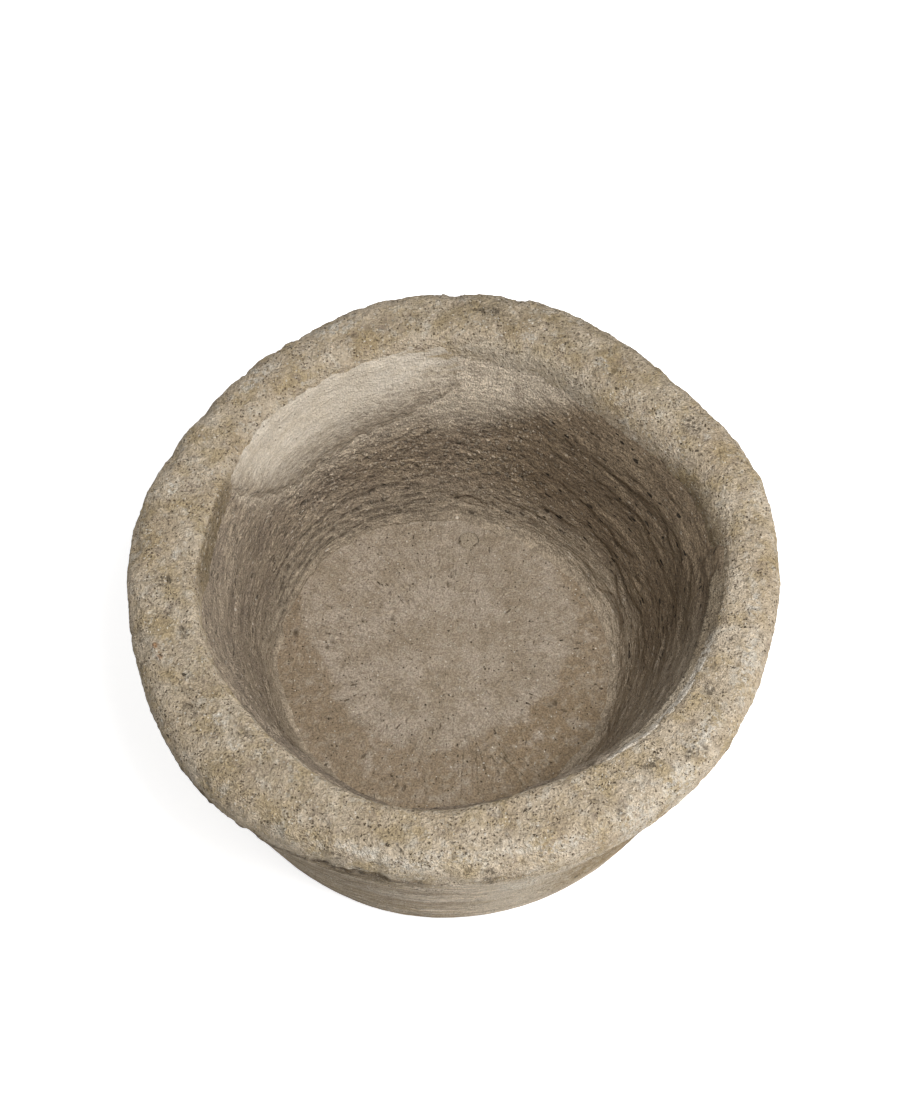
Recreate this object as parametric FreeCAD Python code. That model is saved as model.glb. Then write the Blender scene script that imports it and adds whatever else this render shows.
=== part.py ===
import FreeCAD, Part
import math
import os

# Round stone trough planter: one block of stone, hollowed by hand, with a mortar lining inside.
# Millimetres, +Z up. The origin is the middle of the underside, on the ground.
# Bearings are in degrees, anticlockwise from +X as seen from above. The front is at -Y.

# The block of stone. Diameters are means, because the outlines are lobed.
height = 300.0
rim_diameter = 644.0
foot_diameter = 542.0
stone_floor = 42.0
rim_band = 48.0
ledge = 6.0
rim_wear = 15.0
band_wear = 5.0
foot_wear = 12.0

# The hollow in the stone, from the mouth at the rim down to the floor.
mouth_diameter = 516.0
mouth_wear = 5.0
wall_belly = 5.0

# The mortar render on the wall of the hollow, which thins towards its top edge.
floor_diameter = 383.0
render = 11.0
render_lip = 4.0
render_drop = 6.0
render_taper = 60.0

# The trowelled mortar screed on the stone floor.
screed = 16.0

# The smooth skim coat over the render, high on the back left of the wall.
skim = 4.0
skim_foot = 1.5
skim_top = 8.0
skim_height = 105.0
skim_bond = 0.2
skim_bearings = (84.0, 157.0)

# The mortar pointing under the inner arris of the rim, in lengths parted by cracks.
pointing_drop = 2.5
pointing_height = 11.0
pointing_lip = 2.5
pointing_bearings = (-57.0, 4.0)
crack_bearings = (-35.0, -16.0)
crack = 0.8

# The drain hole through the floor, and the mortar plug that stops it.
drain_diameter = 22.0
drain_bearing = 83.0
drain_from_middle = 152.0
plug_recess = 8.0

# Lobes of the hand-cut outlines: how many go round, how far each swells, and the bearing of a crest.
rim_lobes = ((2, 3.7, 50.0), (3, 3.6, -22.0), (4, 1.7, 3.5), (5, 2.3, 15.0), (7, 1.4, 20.5))
foot_lobes = ((1, 2.1, -159.0), (3, 3.0, -105.0))
mouth_lobes = ((1, 5.5, 5.0), (3, 6.2, -7.5), (4, 3.1, 0.0), (6, 3.6, 17.0))
floor_lobes = ((1, 8.8, -177.0), (2, 4.9, -46.0), (3, 4.3, 13.0))

# How finely an outline and a worn edge are drawn, and how far a cutting solid runs past its work.
outline_stations = 48
wear_steps = 3
wall_steps = 10
cut_past = 20.0

# Heights that several pieces share.
screed_top = stone_floor + screed
band_bottom = height - rim_band
render_top = height - render_drop
pointing_top = height - pointing_drop
pointing_bottom = pointing_top - pointing_height


def lobed(diameter, lobes, angle):
    """Radius of a hand-cut outline at an angle in radians."""
    swell = sum(size * math.cos(count * (angle - math.radians(crest))) for count, size, crest in lobes)
    return diameter / 2 + swell


def rim_radius(angle):
    return lobed(rim_diameter, rim_lobes, angle)


def foot_radius(angle):
    return lobed(foot_diameter, foot_lobes, angle)


def body_radius(angle, z):
    """Outside of the block under the rim band: a straight batter from the foot to the ledge."""
    share = z / band_bottom
    return foot_radius(angle) * (1 - share) + (rim_radius(angle) - ledge) * share


def stone_hollow_radius(angle, z):
    """Wall of the hollow in the bare stone, from the mouth down to the stone floor, with a slight belly."""
    share = (height - z) / (height - screed_top)
    mouth = lobed(mouth_diameter, mouth_lobes, angle)
    foot = lobed(floor_diameter, floor_lobes, angle) + render
    belly = wall_belly * math.sin(math.pi * min(max(share, 0.0), 1.0))
    return mouth * (1 - share) + foot * share + belly


def render_thickness(z):
    share = min(max((render_top - z) / render_taper, 0.0), 1.0)
    return render_lip + (render - render_lip) * share


def render_radius(angle, z):
    """Face of the wall render, which is the wall that shows."""
    return stone_hollow_radius(angle, z) - render_thickness(z)


def skim_radius(angle, z):
    """Face of the skim coat, which thins towards its foot."""
    share = min(max((height - skim_top - z) / skim_height, 0.0), 1.0)
    return render_radius(angle, z) - skim - (skim_foot - skim) * share


def pointing_radius(angle, z):
    """Sloping face of the pointing, from the render's face up to near the arris of the stone."""
    share = (z - pointing_bottom) / pointing_height
    low = render_radius(angle, pointing_bottom)
    high = stone_hollow_radius(angle, pointing_top) - pointing_lip
    return low * (1 - share) + high * share


def outline(radius, z):
    """Closed smooth wire at one height. radius gives the distance from the axis at an angle."""
    points = []
    for station in range(outline_stations):
        angle = 2 * math.pi * station / outline_stations
        reach = radius(angle)
        points.append(FreeCAD.Vector(reach * math.cos(angle), reach * math.sin(angle), z))
    curve = Part.BSplineCurve()
    curve.interpolate(Points=points, PeriodicFlag=True)
    return Part.Wire(curve.toShape())


def loft(radius_at_height, heights):
    """Solid through an outline at each height. radius_at_height takes an angle and a height."""
    wires = [outline(lambda angle, z=z: radius_at_height(angle, z), z) for z in heights]
    return Part.makeLoft(wires, True, False)


def even(low, high, steps):
    return [low + (high - low) * step / steps for step in range(steps + 1)]


def worn_back(distance, size):
    """How far a worn arris stands back at a distance from its edge: a curve that fades out over its size."""
    return size * max(1 - distance / size, 0.0) ** 2


def slab(low, high):
    """Wide flat block between two heights, for cutting."""
    reach = rim_diameter
    return Part.makeBox(2 * reach, 2 * reach, high - low, FreeCAD.Vector(-reach, -reach, low))


def sector(start, end, low, high):
    """Wedge about the axis between two bearings and two heights, for cutting."""
    wedge = Part.makeCylinder(
        rim_diameter, high - low, FreeCAD.Vector(0, 0, low), FreeCAD.Vector(0, 0, 1), end - start
    )
    wedge.rotate(FreeCAD.Vector(0, 0, 0), FreeCAD.Vector(0, 0, 1), start)
    return wedge


def drain_cylinder(low, high):
    bearing = math.radians(drain_bearing)
    middle = FreeCAD.Vector(
        drain_from_middle * math.cos(bearing), drain_from_middle * math.sin(bearing), low
    )
    return Part.makeCylinder(drain_diameter / 2, high - low, middle)


# Solids that several pieces are cut from


def block_body():
    heights = even(0, foot_wear, wear_steps) + even(foot_wear, band_bottom, wall_steps)[1:]
    return loft(lambda angle, z: body_radius(angle, z) - worn_back(z, foot_wear), heights)


def block_band():
    face = even(band_bottom + band_wear, height - rim_wear, wear_steps)
    heights = even(band_bottom, face[0], wear_steps) + face[1:-1] + even(face[-1], height, wear_steps)

    def radius(angle, z):
        return rim_radius(angle) - worn_back(z - band_bottom, band_wear) - worn_back(height - z, rim_wear)

    return loft(radius, heights)


def stone_hollow():
    """The hollow in the bare stone. It runs on above the rim as the worn arris widens."""
    arris = height - mouth_wear
    heights = even(stone_floor, arris, wall_steps) + even(arris, height + mouth_wear, 2 * wear_steps)[1:]
    return loft(lambda angle, z: stone_hollow_radius(angle, z) + worn_back(height - z, mouth_wear), heights)


def hollow_inside(radius, low, high):
    """The space within one of the mortar faces, running past the given heights."""
    return loft(radius, even(low, high, wall_steps))


# The pieces


def make_stone_trough():
    block = block_body().fuse(block_band())
    drain = drain_cylinder(-cut_past, stone_floor + cut_past)
    return block.cut(stone_hollow()).cut(drain).removeSplitter()


def make_wall_render():
    bare = stone_hollow().common(slab(-cut_past, render_top))
    shell = bare.cut(hollow_inside(render_radius, stone_floor - cut_past, height + cut_past))
    return shell.cut(sector(*pointing_bearings, pointing_bottom, height))


def make_floor_screed():
    inside = hollow_inside(render_radius, stone_floor - cut_past, height + cut_past)
    bed = inside.common(slab(stone_floor, screed_top))
    return bed.cut(drain_cylinder(stone_floor - cut_past, screed_top + cut_past))


def make_skim_patch():
    top = height - skim_top
    patch = sector(*skim_bearings, top - skim_height, top)
    back = hollow_inside(
        lambda angle, z: render_radius(angle, z) - skim_bond, stone_floor - cut_past, height + cut_past
    )
    face = hollow_inside(skim_radius, stone_floor - cut_past, height + cut_past)
    return patch.common(back).cut(face)


def make_lip_pointing(start, end):
    length = sector(start, end, pointing_bottom, pointing_top)
    inner = hollow_inside(pointing_radius, pointing_bottom - cut_past, pointing_top + cut_past)
    return length.common(stone_hollow()).cut(inner)


def make_drain_plug():
    return drain_cylinder(plug_recess, screed_top)


def pointing_lengths():
    """Start and end bearings of each length of pointing, with half a crack taken off each broken end."""
    half_crack = math.degrees(crack / mouth_diameter)
    starts = [pointing_bearings[0]] + [bearing + half_crack for bearing in crack_bearings]
    ends = [bearing - half_crack for bearing in crack_bearings] + [pointing_bearings[1]]
    return list(zip(starts, ends))


def main():
    pieces = {
        "stone_trough": make_stone_trough(),
        "wall_render": make_wall_render(),
        "floor_screed": make_floor_screed(),
        "skim_patch": make_skim_patch(),
        "drain_plug": make_drain_plug(),
    }
    for number, (start, end) in enumerate(pointing_lengths(), 1):
        pieces[f"lip_pointing_{number}"] = make_lip_pointing(start, end)
    os.makedirs("parts", exist_ok=True)
    for name, shape in pieces.items():
        shape.exportStep(f"parts/{name}.step")
        box = shape.optimalBoundingBox(False)
        print(
            f"{name}: {len(shape.Solids)} solid, {shape.Volume / 1e6:.3f} litres, valid {shape.isValid()},"
            f" x {box.XMin:.1f}..{box.XMax:.1f}, y {box.YMin:.1f}..{box.YMax:.1f}, z {box.ZMin:.1f}..{box.ZMax:.1f}"
        )


main()
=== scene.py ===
# %% [markdown]
# # A round stone trough, lined with mortar
# The object is an old garden trough: one block of stone, hollowed by hand, with a rough worn rim. The hollow
# is rendered with mortar, has a trowelled mortar floor with a stopped drain hole, a smooth skim coat high on
# the back left of the wall, and a cracked band of pointing under the rim at the right. Everything is built
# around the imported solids, in metres, with the middle of the underside at the origin.

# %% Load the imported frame
import math

import bpy
import numpy as np
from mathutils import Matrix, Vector, noise
from mathutils.bvhtree import BVHTree


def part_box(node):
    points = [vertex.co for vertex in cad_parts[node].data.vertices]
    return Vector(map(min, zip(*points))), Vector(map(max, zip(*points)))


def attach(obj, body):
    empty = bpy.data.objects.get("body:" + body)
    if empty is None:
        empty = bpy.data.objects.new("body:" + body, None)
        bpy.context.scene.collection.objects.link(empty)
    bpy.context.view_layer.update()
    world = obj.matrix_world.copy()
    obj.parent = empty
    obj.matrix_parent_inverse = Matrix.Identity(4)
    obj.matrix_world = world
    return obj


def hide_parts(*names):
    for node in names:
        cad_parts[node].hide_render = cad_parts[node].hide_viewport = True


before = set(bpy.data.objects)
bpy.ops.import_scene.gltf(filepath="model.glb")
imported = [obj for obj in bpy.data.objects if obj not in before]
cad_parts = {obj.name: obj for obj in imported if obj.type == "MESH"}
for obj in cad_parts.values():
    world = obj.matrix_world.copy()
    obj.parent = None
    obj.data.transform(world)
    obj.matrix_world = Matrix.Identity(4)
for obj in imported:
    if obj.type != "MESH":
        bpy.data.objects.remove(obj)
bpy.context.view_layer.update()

print("solids:", sorted(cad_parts))

# %% [markdown]
# ## Sizes, colours and nodes
# Three small helpers serve the whole file. Sizes are written in millimetres, as a mason would measure them.
# Colours are written as the screen shows them and turned to the linear values that the shader works with.
# Node trees could be built with one helper for each kind of node, but one helper that takes the kind, the
# inputs and the settings keeps every tree readable in the same way.

# %% Helpers
def mm(size):
    """Millimetres to metres."""
    return size / 1000


def paint(code):
    """Screen colour such as #a08060 to the linear colour of a shader socket."""
    channels = [int(code[start:start + 2], 16) / 255 for start in (1, 3, 5)]
    linear = [c / 12.92 if c <= 0.04045 else ((c + 0.055) / 1.055) ** 2.4 for c in channels]
    return (*linear, 1.0)


def add(tree, kind, inputs=None, **settings):
    """Add a node. A kind that doesn't name its family is a shader node. An input takes a value, a socket, a
    node for its first output in use, or, where a number belongs, the name of a weight of the mesh."""
    node = tree.nodes.new(kind if "Node" in kind else "ShaderNode" + kind)
    for name, value in settings.items():
        setattr(node, name, value)
    for key, value in (inputs or {}).items():
        named = [socket for socket in node.inputs if socket.name == key and socket.enabled]
        socket = named[0] if named else node.inputs[key]
        if isinstance(value, str) and socket.type == "VALUE":
            if tree.type == "SHADER":
                value = add(tree, "Attribute", attribute_name=value).outputs["Fac"]
            else:
                value = add(tree, "GeometryNodeInputNamedAttribute", {"Name": value}, data_type="FLOAT")
        if isinstance(value, bpy.types.Node):
            value = next(output for output in value.outputs if output.enabled)
        if isinstance(value, bpy.types.NodeSocket):
            tree.links.new(value, socket)
        else:
            socket.default_value = value
    return node


# %% [markdown]
# ## Reading the solids
# The solids already have the measured outlines of the rim, the hollow and the foot. The detailed pieces
# should follow them without copying their facets, so rays are cast from and towards the axis at a set of
# heights, and the distances go into tables that can be read between their own heights and bearings.

# %% Tables of the outside and of the hollow
full_turn = 2 * math.pi
bearings = np.linspace(0, full_turn, 361)
half_turn = len(bearings) // 2


def solid(node):
    """Search tree over the faces of one solid."""
    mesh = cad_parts[node].data
    points = [vertex.co for vertex in mesh.vertices]
    return BVHTree.FromPolygons(points, [face.vertices for face in mesh.polygons])


def reach(surface, z, inward):
    """Distance from the axis to a surface at one height, at every bearing."""
    axis = Vector((0, 0, z))
    distances = []
    for bearing in bearings:
        out = Vector((math.cos(bearing), math.sin(bearing), 0))
        hit = surface.ray_cast(axis + out, -out)[0] if inward else surface.ray_cast(axis, out)[0]
        distances.append((hit - axis).length)
    return distances


def read(table, heights, angle, z):
    """Read a table between its heights and bearings."""
    row = np.interp(z, heights, np.arange(len(heights)))
    column = np.mod(angle, full_turn) / full_turn * (len(bearings) - 1)
    low = np.floor(row).astype(int)
    left = np.floor(column).astype(int)
    high = np.minimum(low + 1, len(heights) - 1)
    right = np.minimum(left + 1, len(bearings) - 1)
    up = row - low
    across = column - left
    lower = table[low, left] * (1 - across) + table[low, right] * across
    upper = table[high, left] * (1 - across) + table[high, right] * across
    return lower * (1 - up) + upper * up


rim_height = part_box("stone_trough")[1].z
bed_height, floor_height = (corner.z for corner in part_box("floor_screed"))
block = solid("stone_trough")
lining = solid("wall_render")
outside_heights = mm(np.array([0.3, 2, 4, 8, 12, 60, 120, 180, 240, 251, 252.5, 254, 256, 258, 270, 284,
                               287, 290, 292, 294, 296, 298, 299.5]))
outside = np.array([reach(block, z, True) for z in outside_heights])
hollow_heights = mm(np.array([43, 60, 90, 120, 150, 180, 210, 240, 270, 290, 294, 296, 298, 299.5]))
hollow = np.array([reach(block, z, False) for z in hollow_heights])


def outside_reach(angle, z):
    """Distance from the axis to the outside of the stone."""
    return read(outside, outside_heights, angle, z)


def hollow_reach(angle, z):
    """Distance from the axis to the stone of the hollow."""
    return read(hollow, hollow_heights, angle, z)


lining_heights = mm(np.array([45, 120, 200, 230, 250, 270, 285]))
lining_depth = np.array([
    hollow_reach(math.pi, z) - reach(lining, z, False)[half_turn] for z in lining_heights
])


def wall_reach(angle, z):
    """Distance from the axis to the face of the wall lining."""
    return hollow_reach(angle, z) - np.interp(z, lining_heights, lining_depth)


print("rim", rim_height, "floor", floor_height, "lining", lining_depth.round(4))

# %% [markdown]
# ## Skins over rings
# Every piece here is some outline carried along a path: rings stacked up the wall, or sections carried along
# the rim. A revolve modifier would give perfect circles, which a hand-cut stone never has. Building the
# rings from the tables keeps the lobed outlines, and a ring may have half or twice the points of its
# neighbour, so that points can be spent where the eye looks. Each ring also carries weights, which later say
# how deep the relief goes there and where a stain lies.

# %% Rings and skins
pole = np.zeros(1)


def around(count):
    """Evenly spaced angles for one ring."""
    return np.arange(count) * full_turn / count


def ring(angles, radius, z):
    """Points of a ring round the axis."""
    return np.column_stack(np.broadcast_arrays(radius * np.cos(angles), radius * np.sin(angles), z))


def bearings_of(points):
    """Angles of points round the axis."""
    return np.arctan2(points[:, 1], points[:, 0])


def strip(a, m, b, n):
    """Faces from a ring of m points that starts at point a to one of n points that starts at b."""
    if n > m:
        return [face[::-1] for face in strip(b, n, a, m)]
    if n == m:
        return [(a + i, a + (i + 1) % m, b + (i + 1) % m, b + i) for i in range(m)]
    if n == 1:
        return [(a + i, a + (i + 1) % m, b) for i in range(m)]
    faces = []
    for i in range(n):
        here, mid, far = a + 2 * i, a + 2 * i + 1, a + (2 * i + 2) % m
        near, next_near = b + i, b + (i + 1) % n
        faces += [(here, mid, near), (mid, next_near, near), (mid, far, next_near)]
    return faces


def skin(name, rows, closed=False):
    """New object over rows of (points, weights). The weights become point attributes of its mesh."""
    counts = [len(points) for points, weights in rows]
    starts = np.concatenate([[0], np.cumsum(counts)]).tolist()
    followers = [*range(1, len(rows)), 0] if closed else range(1, len(rows))
    faces = []
    for first, second in enumerate(followers):
        faces += strip(starts[first], counts[first], starts[second], counts[second])
    mesh = bpy.data.meshes.new(name)
    mesh.from_pydata(np.vstack([points for points, weights in rows]).tolist(), [], faces)
    for key in rows[0][1]:
        values = np.concatenate([np.broadcast_to(weights[key], len(points)) for points, weights in rows])
        mesh.attributes.new(key, "FLOAT", "POINT").data.foreach_set("value", values.astype(np.float32))
    mesh.shade_smooth()
    piece = bpy.data.objects.new(name, mesh)
    bpy.context.scene.collection.objects.link(piece)
    return piece


def capped(name, sections):
    """Skin over sections, closed at either end by a point in the middle of the end section."""
    first, last = [(points.mean(axis=0)[None], dict.fromkeys(weights, 0.0))
                   for points, weights in (sections[0], sections[-1])]
    return skin(name, [first, *sections, last])


# %% Soft steps and wavering lines
mouth_radius = mm(260)


def wander(angles, size, seed):
    """Slow wavering along a ring, from -1 to 1. The size is how long one wave is at the mouth."""
    turns = mouth_radius / size
    return np.array([
        noise.fractal(Vector((turns * math.cos(a), turns * math.sin(a), seed)), 1.0, 2.0, 3) for a in angles
    ])


def between(value, start, end):
    """Smooth step from 0 at start to 1 at end."""
    share = np.clip((value - start) / (end - start), 0, 1)
    return share * share * (3 - 2 * share)


def span(angles, start, end, fade):
    """1 between two bearings in degrees, fading out past them."""
    middle = math.radians((start + end) / 2)
    half = math.radians(abs(end - start) / 2)
    away = np.abs(np.angle(np.exp(1j * (angles - middle))))
    return 1 - between(away, half - math.radians(fade) / 2, half + math.radians(fade) / 2)


def edge_at(table, angles):
    """A line drawn by (bearing, millimetres) from 0 to 360 degrees, read at other bearings, in metres."""
    return mm(np.interp(np.degrees(np.mod(angles, full_turn)), *np.array(table, float).T))


def marks(points, places):
    """Soft marks. A place is a bearing, a distance from the axis, and half its length and width in mm."""
    angles = bearings_of(points)
    far = np.hypot(points[:, 0], points[:, 1])
    total = np.zeros(len(points))
    for bearing, distance, along, across in places:
        turn = np.angle(np.exp(1j * (angles - math.radians(bearing))))
        away = np.hypot(turn * distance / along, (far - mm(distance)) / mm(across))
        total = np.maximum(total, 1 - between(away, 0.4, 1.0))
    return total


def lean(degrees):
    """Which way points lean when the relief raises them: 0 is outwards, 90 is up."""
    return {"lean_out": np.cos(np.radians(degrees)), "lean_up": np.sin(np.radians(degrees))}


# %% [markdown]
# ## Relief trees
# Rough stone and trowelled mortar follow rules: lumps of a certain size, pits of a certain spacing, strokes
# of a certain length and width. Sculpting by hand would be slow to change, and bump mapping alone leaves
# smooth outlines. So each surface gets a Geometry Nodes tree that moves the points in and out. Moving them
# along their own normals would make a deep chip on a sharp edge fold over itself, so every ring says which
# way its points lean. The sizes are named inputs, and the tree leaves behind attributes, such as how deep a
# pit is, that the material reads. Crumbs that stuck to the mortar are small grains strewn over the face by
# the same tree.

# %% Parts of a relief
def relief_tree(name, sizes):
    """New tree with a geometry and one number for each size, its inputs, and where the points are."""
    tree = bpy.data.node_groups.new(name, "GeometryNodeTree")
    for way in ("INPUT", "OUTPUT"):
        tree.interface.new_socket("Geometry", in_out=way, socket_type="NodeSocketGeometry")
    for label in sizes:
        tree.interface.new_socket(label, in_out="INPUT", socket_type="NodeSocketFloat")
    return tree, tree.nodes.new("NodeGroupInput").outputs, add(tree, "GeometryNodeInputPosition")


def held(tree, share, *limits):
    """A share held back by each of the limits in turn."""
    for limit in limits:
        share = add(tree, "Math", {0: share, 1: limit}, operation="MULTIPLY")
    return share


def flattened(tree, place):
    """A place without its height."""
    return add(tree, "VectorMath", {0: place, 1: (1.0, 1.0, 0.0)}, operation="MULTIPLY")


def drawn_out(tree, size, mark):
    """The length of a mark level round the wall and its width up the wall, as one size."""
    length = size[mark + " Length"]
    return add(tree, "CombineXYZ", {0: length, 1: length, 2: size[mark + " Width"]})


def rolling(tree, place, length, seed, detail):
    """Rolling ground between -1 and 1, with hills about as long as the given size."""
    spot = add(tree, "VectorMath", {0: place, 1: length}, operation="DIVIDE")
    hills = add(tree, "TexNoise", {"Vector": spot, "W": seed, "Scale": 1.0, "Detail": detail,
                                   "Roughness": 0.6}, noise_dimensions="4D")
    return add(tree, "MapRange", {"Value": hills, "To Min": -1.0})


def dents(tree, place, spacing, seed, skipped, widest, level=0.35):
    """Round dents between 0 and 1. A share of them is skipped, and a share of each is level at its bottom."""
    spot = add(tree, "VectorMath", {0: place, 1: spacing}, operation="DIVIDE")
    moved = add(tree, "VectorMath", {0: spot, 1: seed}, operation="ADD")
    cells = add(tree, "TexVoronoi", {"Vector": moved, "Scale": 1.0})
    split = "SeparateColor" if tree.type == "SHADER" else "FunctionNodeSeparateColor"
    chance = add(tree, split, {"Color": cells.outputs["Color"]})
    edge = add(tree, "MapRange", {"Value": chance, "From Min": skipped, "To Max": widest})
    return add(tree, "MapRange",
               {"Value": cells.outputs["Distance"], "From Min": edge, "From Max": held(tree, edge, level)},
               interpolation_type="SMOOTHSTEP")


def crumbled(tree, place, size):
    """Raised lumps, gathered in patches, where the mesh is crumbly."""
    grains = dents(tree, place, size["Crumb Spacing"], size["Seed"], 0.15, 0.5, 0.2)
    patches = add(tree, "MapRange", {"Value": rolling(tree, place, size["Crumb Patch"], size["Seed"], 2.0),
                                     "From Min": -0.2, "From Max": 0.2})
    return held(tree, grains, patches, "crumbly")


def stacked(tree, layers):
    """Sum of layers of (field, depth)."""
    total = 0.0
    for field, depth in layers:
        total = add(tree, "Math", {0: field, 1: depth, 2: total}, operation="MULTIPLY_ADD")
    return total


def raised(tree, geometry, height, kept):
    """Move the points the way they lean, and keep some fields as attributes."""
    for name, field in kept.items():
        inputs = {"Geometry": geometry, "Name": name, "Value": field}
        geometry = add(tree, "GeometryNodeStoreNamedAttribute", inputs, data_type="FLOAT", domain="POINT")
    level = flattened(tree, add(tree, "GeometryNodeInputPosition"))
    away = add(tree, "VectorMath", {0: level}, operation="NORMALIZE")
    outward = add(tree, "VectorMath", {0: away, "Scale": "lean_out"}, operation="SCALE")
    upward = add(tree, "CombineXYZ", {2: "lean_up"})
    leaning = add(tree, "VectorMath", {0: outward, 1: upward}, operation="ADD")
    offset = add(tree, "VectorMath", {0: leaning, "Scale": held(tree, height, "exposed")}, operation="SCALE")
    return add(tree, "GeometryNodeSetPosition", {"Geometry": geometry, "Offset": offset})


def strewn(tree, ground, size):
    """Ground with small crumbs of mortar stuck to it, gathered in patches where the mesh is crumbly."""
    place = add(tree, "GeometryNodeInputPosition")
    patches = add(tree, "MapRange", {"Value": rolling(tree, place, size["Crumb Patch"], size["Seed"], 3.0),
                                     "From Min": -0.1, "From Max": 0.25})
    thick = add(tree, "MapRange", {"Value": "crumbly", "From Min": 0.42, "From Max": 0.8})
    density = held(tree, patches, thick, size["Crumbs"])
    spots = add(tree, "GeometryNodeDistributePointsOnFaces", {"Mesh": ground, "Density": density, "Seed": 4})
    crumb = add(tree, "GeometryNodeMeshIcoSphere", {"Radius": mm(1), "Subdivisions": 1})
    crumb = add(tree, "GeometryNodeStoreNamedAttribute", {"Geometry": crumb, "Name": "crumb", "Value": 1.0},
                data_type="FLOAT", domain="POINT")
    turn = add(tree, "FunctionNodeRandomValue", {"Min": (0.0, 0.0, 0.0), "Max": (full_turn,) * 3, "Seed": 5},
               data_type="FLOAT_VECTOR")
    girth = add(tree, "FunctionNodeRandomValue", {"Min": (0.7, 0.7, 0.5), "Max": (3.0, 2.4, 2.0), "Seed": 6},
                data_type="FLOAT_VECTOR")
    crumbs = add(tree, "GeometryNodeInstanceOnPoints",
                 {"Points": spots, "Instance": crumb, "Rotation": turn, "Scale": girth})
    both = add(tree, "GeometryNodeJoinGeometry", {"Geometry": ground})
    tree.links.new(crumbs.outputs[0], both.inputs[0])
    return both


# %% From a tree to a finished piece
def close(tree, geometry, material):
    """End a tree: make instances real and give them their material."""
    whole = add(tree, "GeometryNodeRealizeInstances", {"Geometry": geometry})
    dressed = add(tree, "GeometryNodeSetMaterial", {"Geometry": whole, "Material": material})
    add(tree, "NodeGroupOutput", {"Geometry": dressed})


def keep_result(piece, modifier):
    """Keep what a modifier makes as the piece's own plain mesh."""
    bpy.context.view_layer.update()
    evaluated = piece.evaluated_get(bpy.context.evaluated_depsgraph_get())
    piece.data = bpy.data.meshes.new_from_object(evaluated)
    piece.modifiers.remove(modifier)


def shaped(piece, tree, sizes):
    """Run a tree on a piece with these sizes."""
    modifier = piece.modifiers.new(tree.name, "NODES")
    modifier.node_group = tree
    for socket in tree.interface.items_tree:
        if socket.name in sizes:
            modifier[socket.identifier] = sizes[socket.name]
    keep_result(piece, modifier)


def cut(piece, cutter):
    """Cut a hole through a piece and drop the cutter."""
    modifier = piece.modifiers.new("hole", "BOOLEAN")
    modifier.operation = "DIFFERENCE"
    modifier.solver = "EXACT"
    modifier.object = cutter
    keep_result(piece, modifier)
    bpy.data.objects.remove(cutter)


def settle(piece, node):
    """Let a finished piece ride on the trough and stand for its solid."""
    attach(piece, "root")
    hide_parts(node)
    piece.data.calc_loop_triangles()
    print(piece.name, len(piece.data.loop_triangles), "triangles")


# %% [markdown]
# ## Weathered stone
# The block is a pale yellow-grey stone with grit in it, left rough from the chisel and weathered for a long
# time. The eye sees a salt-and-pepper grain, ochre and grey blotches, white lime, dark pores and a few rust
# spots, and on the dressed side faint level bands. An image of stone would tile, so patterns at several real
# sizes are layered: blotches of several centimetres, lime and lichen of half a centimetre, pores of one to
# three millimetres and grit. The same helpers serve the mortars, which differ in their sizes and colours.

# %% Patterns
# Real grit is finer than a millimetre and wouldn't show, so it is drawn this coarse, in millimetres.
grit_size = 1.9
# Two patterns of one size lie this many of their own sizes apart for each step of the seed.
seed_step = 7.3


def patchy(tree, place, size, low, high, most=1.0, within=1.0, seed=0.0, detail=3.0):
    """Patches about so many millimetres across: 0 where the noise is at low, rising to most at high."""
    spot = add(tree, "VectorMath", {0: place, 1: (1 / mm(size),) * 3, 2: (seed * seed_step,) * 3},
               operation="MULTIPLY_ADD")
    waves = add(tree, "TexNoise", {"Vector": spot, "Scale": 1.0, "Detail": detail, "Roughness": 0.65})
    share = add(tree, "MapRange", {"Value": waves, "From Min": low, "From Max": high, "To Max": most})
    return share if within == 1.0 else held(tree, share, within)


def flecks(tree, place, spacing, seed, skipped, widest, within=1.0):
    """Crisp flecks, at most one to each spacing in millimetres. A share of them is skipped."""
    spots = dents(tree, place, (mm(spacing),) * 3, (seed * seed_step,) * 3, skipped, widest, 0.75)
    return spots if within == 1.0 else held(tree, spots, within)


def loose_crumbs(tree, place, within):
    """Two shares: a painted highlight on the tops of loose crumbs, and painted shade just under each of them.
    """
    under = add(tree, "VectorMath", {0: place, 1: (0.0, 0.0, mm(1.6))}, operation="ADD")
    return [flecks(tree, where, 7, 3, 0.25, 0.46, within) for where in (place, under)]


def painted_emboss(tree, place, size, within):
    """Painted light and shade: a share that is high on the tops of lumps, a painted highlight, low under
    them, painted shade, and a half where within is 0.
    """
    levels = []
    for rise in (0.0, 0.2 * size):
        spot = add(tree, "VectorMath", {0: place, 1: (0.0, 0.0, mm(rise))}, operation="ADD")
        levels.append(add(tree, "TexNoise", {"Vector": spot, "Scale": 1 / mm(size), "Detail": 3.0,
                                             "Roughness": 0.6}))
    drop = add(tree, "Math", {0: levels[0], 1: levels[1]}, operation="SUBTRACT")
    steep = add(tree, "MapRange", {"Value": drop, "From Min": -0.1, "From Max": 0.1, "To Min": -0.5,
                                   "To Max": 0.5})
    return add(tree, "Math", {0: steep, 1: within, 2: 0.5}, operation="MULTIPLY_ADD")


def squeezed(tree, place, share):
    """Coordinates that stretch a pattern round the trough and leave its height as it is."""
    return add(tree, "VectorMath", {0: place, 1: (share, share, 1.0)}, operation="MULTIPLY")


def shaken(tree, place, size, most):
    """Coordinates pushed about, so that a line drawn on them wavers. Both sizes are in millimetres."""
    waves = add(tree, "TexNoise", {"Vector": place, "Scale": 1 / mm(size), "Detail": 2.0})
    push = add(tree, "VectorMath", {0: waves.outputs["Color"], 1: (0.5, 0.5, 0.5)}, operation="SUBTRACT")
    return add(tree, "VectorMath", {0: push, 1: (mm(most),) * 3, 2: place}, operation="MULTIPLY_ADD")


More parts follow.
